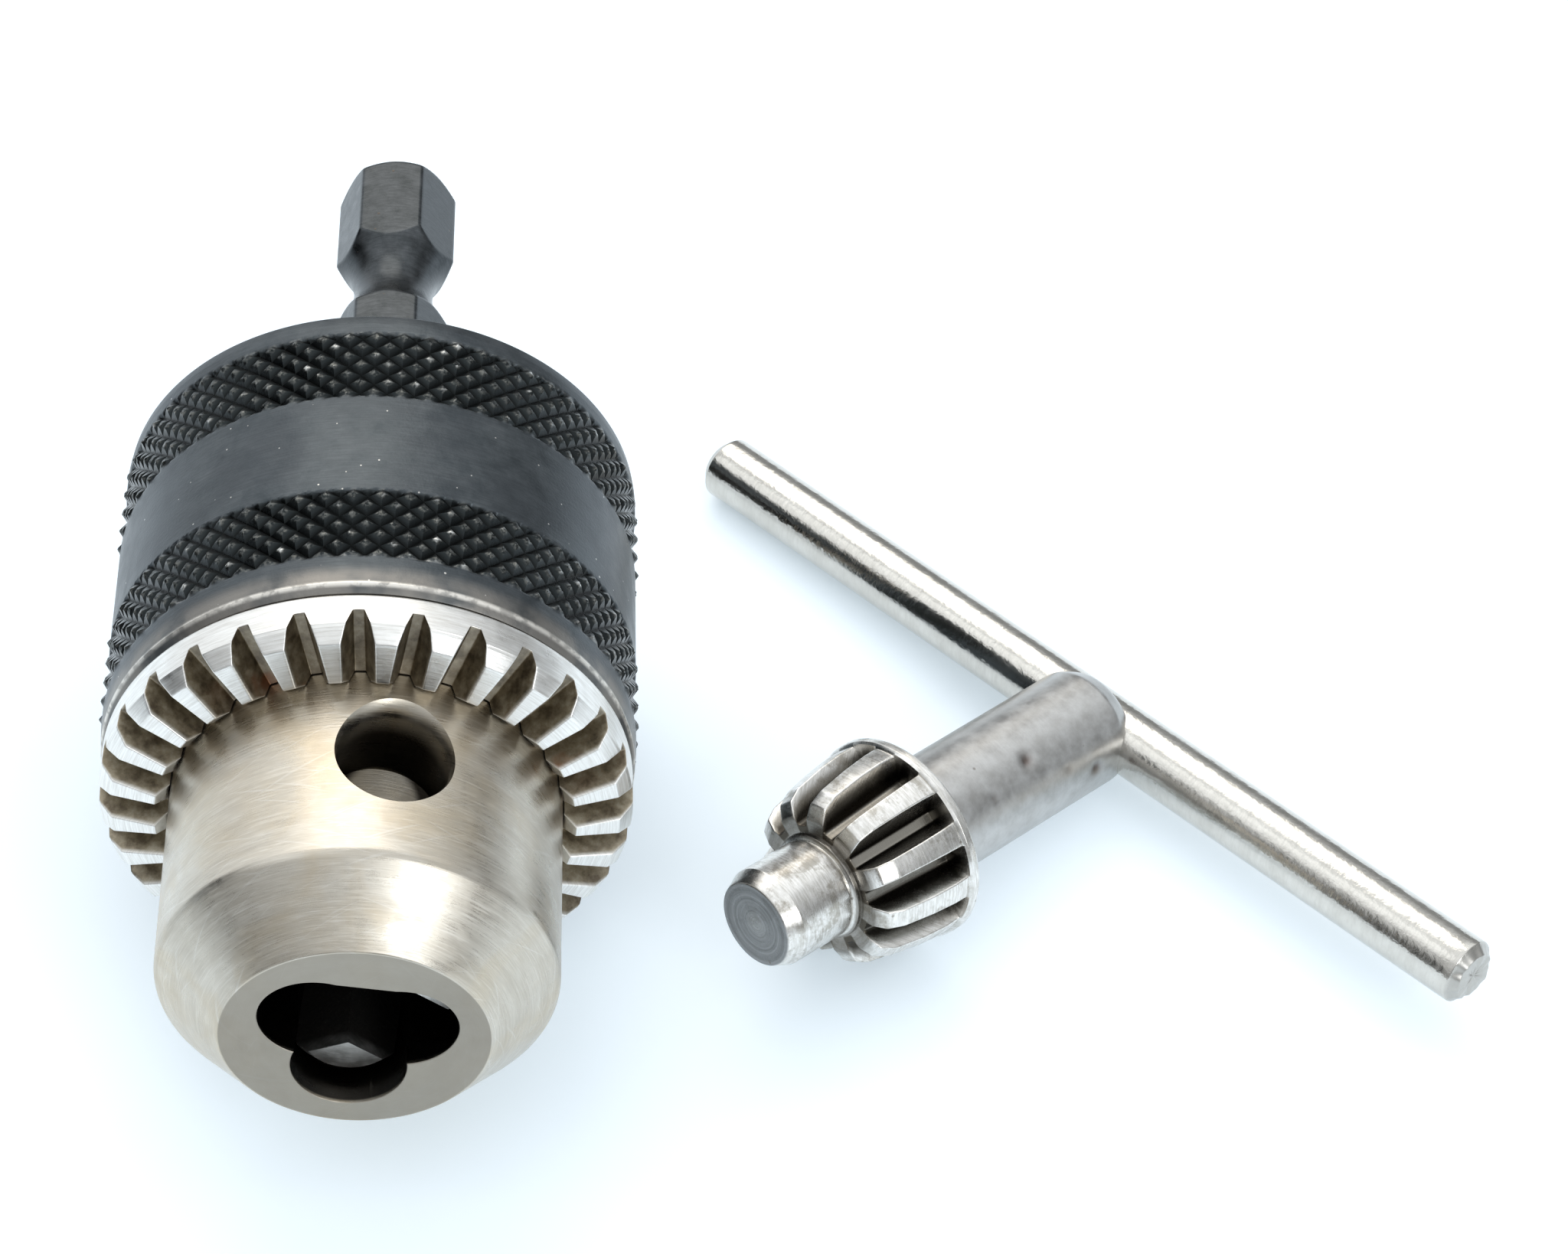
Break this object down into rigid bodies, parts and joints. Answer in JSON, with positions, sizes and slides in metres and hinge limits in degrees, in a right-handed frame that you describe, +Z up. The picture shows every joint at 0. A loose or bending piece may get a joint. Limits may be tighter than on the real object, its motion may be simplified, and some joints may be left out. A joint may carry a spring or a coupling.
{
  "type": "keyed drill chuck with key",
  "caption": "Small keyed three-jaw drill chuck on a quarter-inch hexagon drive shank, lying beside its tee-handle pinion key.",
  "frame": {"origin": "centre of the chuck's flat nose face", "axes": "+Y along the chuck axis from the nose to the shank, +Z up as the chuck lies on its sleeve, +X towards the key"},
  "size_m": [0.0776, 0.0665, 0.03],
  "materials": {
    "body_steel": "turned bright steel with fine lathe lines and light scratches",
    "jaw_steel": "ground hardened steel, slightly grey",
    "nut_steel": "hardened steel, oiled",
    "ring_steel": "bright lands with dark oily tooth gaps",
    "sleeve_black": "black oxide, two finely knurled bands and a smooth band",
    "shank_dark": "dark grey hardened steel",
    "key_steel": "dull turned steel with polished tooth lands",
    "bar_steel": "polished plated rod"
  },
  "bodies": {
    "body": {"chuck_body": "body_steel", "hex_shank": "shank_dark"},
    "turning_sleeve": {"sleeve": "sleeve_black", "gear_ring": "ring_steel", "nut_half_1": "nut_steel", "nut_half_2": "nut_steel"},
    "jaw_a": {"jaw_1": "jaw_steel"},
    "jaw_b": {"jaw_2": "jaw_steel"},
    "jaw_c": {"jaw_3": "jaw_steel"},
    "key": {"key_body": "key_steel", "key_bar": "bar_steel"}
  },
  "joints": [
    {"name": "sleeve_turn", "type": "hinge", "parent": "body", "child": "turning_sleeve", "pos_m": [0, 0.02, 0], "axis": [0, 1, 0], "range_deg": [0, 3600]},
    {"name": "jaw_1_slide", "type": "slide", "parent": "body", "child": "jaw_a", "axis": [-0.2462, -0.9659, -0.08], "range_m": [0, 0.012]},
    {"name": "jaw_2_slide", "type": "slide", "parent": "body", "child": "jaw_b", "axis": [0.0538, -0.9659, 0.2532], "range_m": [0, 0.012]},
    {"name": "jaw_3_slide", "type": "slide", "parent": "body", "child": "jaw_c", "axis": [0.1923, -0.9659, -0.1732], "range_m": [0, 0.012]},
    {"name": "key_lift", "type": "slide", "parent": "body", "child": "key", "axis": [0, 0, 1], "range_m": [0, 0.06]}
  ],
  "couplings": [
    {"joint": "jaw_1_slide", "follows": "sleeve_turn", "m_per_rad": 0.00019099},
    {"joint": "jaw_2_slide", "follows": "sleeve_turn", "m_per_rad": 0.00019099},
    {"joint": "jaw_3_slide", "follows": "sleeve_turn", "m_per_rad": 0.00019099}
  ]
}
